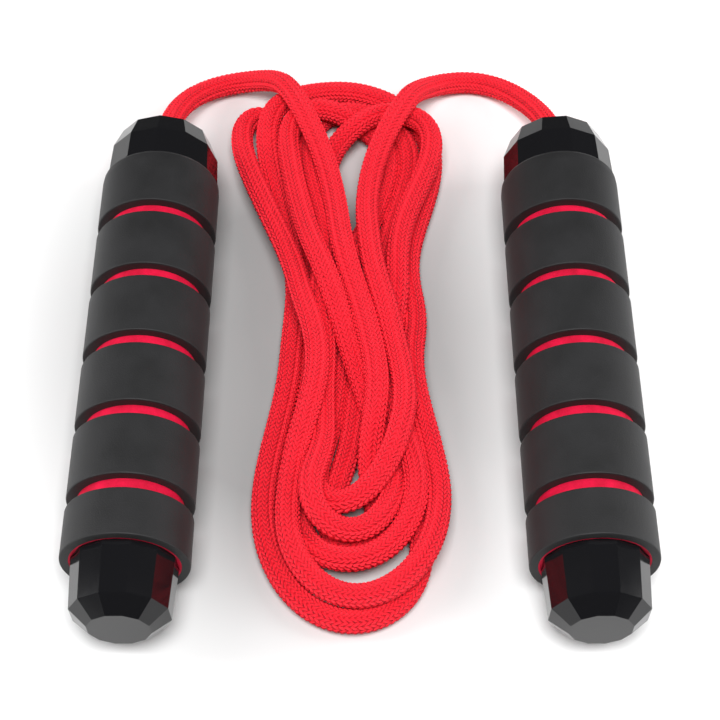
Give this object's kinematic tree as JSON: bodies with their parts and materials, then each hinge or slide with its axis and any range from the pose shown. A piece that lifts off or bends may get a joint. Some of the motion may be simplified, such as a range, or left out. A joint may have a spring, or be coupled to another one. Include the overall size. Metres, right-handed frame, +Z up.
{
  "type": "jump rope",
  "caption": "Braided speed rope gathered in a loose hank between two free-spinning handles with ribbed foam grips and faceted end caps.",
  "frame": {"origin": "on the floor plane, midway between the two handles and midway along them", "axes": "+Y along the handles toward the end that the rope leaves, +X from the left handle to the right one, +Z up from the surface they lie on"},
  "size_m": [0.1642, 0.2116, 0.036],
  "materials": {
    "black_foam": "matte closed-cell foam",
    "red_foam": "matte closed-cell foam",
    "gloss_black": "polished moulded facets",
    "core_plastic": "natural moulded",
    "bearing_steel": "ground and polished",
    "cage_brass": "pressed",
    "swivel_steel": "turned",
    "rope_red": "braided synthetic fibre"
  },
  "bodies": {
    "rope": {"rope_hank": "rope_red", "rope_lead_left": "rope_red", "rope_lead_right": "rope_red", "left_swivel_spindle": "swivel_steel", "left_bearing_inner": "bearing_steel", "left_spindle_clip": "swivel_steel", "left_stop_washer": "swivel_steel", "left_rope_end": "rope_red", "right_swivel_spindle": "swivel_steel", "right_bearing_inner": "bearing_steel", "right_spindle_clip": "swivel_steel", "right_stop_washer": "swivel_steel", "right_rope_end": "rope_red"},
    "left_handle": {"left_core_tube": "core_plastic", "left_foam_sleeve": "red_foam", "left_nose_cap": "gloss_black", "left_bearing_outer": "bearing_steel", "left_bearing_keeper": "core_plastic", "left_grip_ring_1": "black_foam", "left_grip_ring_2": "black_foam", "left_grip_ring_3": "black_foam", "left_grip_ring_4": "black_foam", "left_grip_ring_5": "black_foam", "left_grip_ring_6": "black_foam"},
    "left_ball_set": {"left_bearing_balls": "bearing_steel", "left_bearing_cage": "cage_brass"},
    "left_cap": {"left_rear_cap": "gloss_black"},
    "right_handle": {"right_core_tube": "core_plastic", "right_foam_sleeve": "red_foam", "right_nose_cap": "gloss_black", "right_bearing_outer": "bearing_steel", "right_bearing_keeper": "core_plastic", "right_grip_ring_1": "black_foam", "right_grip_ring_2": "black_foam", "right_grip_ring_3": "black_foam", "right_grip_ring_4": "black_foam", "right_grip_ring_5": "black_foam", "right_grip_ring_6": "black_foam"},
    "right_ball_set": {"right_bearing_balls": "bearing_steel", "right_bearing_cage": "cage_brass"},
    "right_cap": {"right_rear_cap": "gloss_black"}
  },
  "joints": [
    {"name": "left_handle_spin", "type": "hinge", "parent": "rope", "child": "left_handle", "pos_m": [-0.063, 0, 0.018], "axis": [0.0175, 0.9998, 0], "continuous": true},
    {"name": "left_ball_spin", "type": "hinge", "parent": "rope", "child": "left_ball_set", "pos_m": [-0.063, 0, 0.018], "axis": [0.0175, 0.9998, 0], "continuous": true},
    {"name": "left_cap_pull", "type": "slide", "parent": "left_handle", "child": "left_cap", "axis": [-0.0175, -0.9998, 0], "range_m": [0, 0.03]},
    {"name": "right_handle_spin", "type": "hinge", "parent": "rope", "child": "right_handle", "pos_m": [0.063, 0, 0.018], "axis": [-0.0175, 0.9998, 0], "continuous": true},
    {"name": "right_ball_spin", "type": "hinge", "parent": "rope", "child": "right_ball_set", "pos_m": [0.063, 0, 0.018], "axis": [-0.0175, 0.9998, 0], "continuous": true},
    {"name": "right_cap_pull", "type": "slide", "parent": "right_handle", "child": "right_cap", "axis": [0.0175, -0.9998, 0], "range_m": [0, 0.03]}
  ],
  "couplings": [
    {"joint": "left_ball_spin", "follows": "left_handle_spin", "ratio": 0.61},
    {"joint": "right_ball_spin", "follows": "right_handle_spin", "ratio": 0.61}
  ]
}
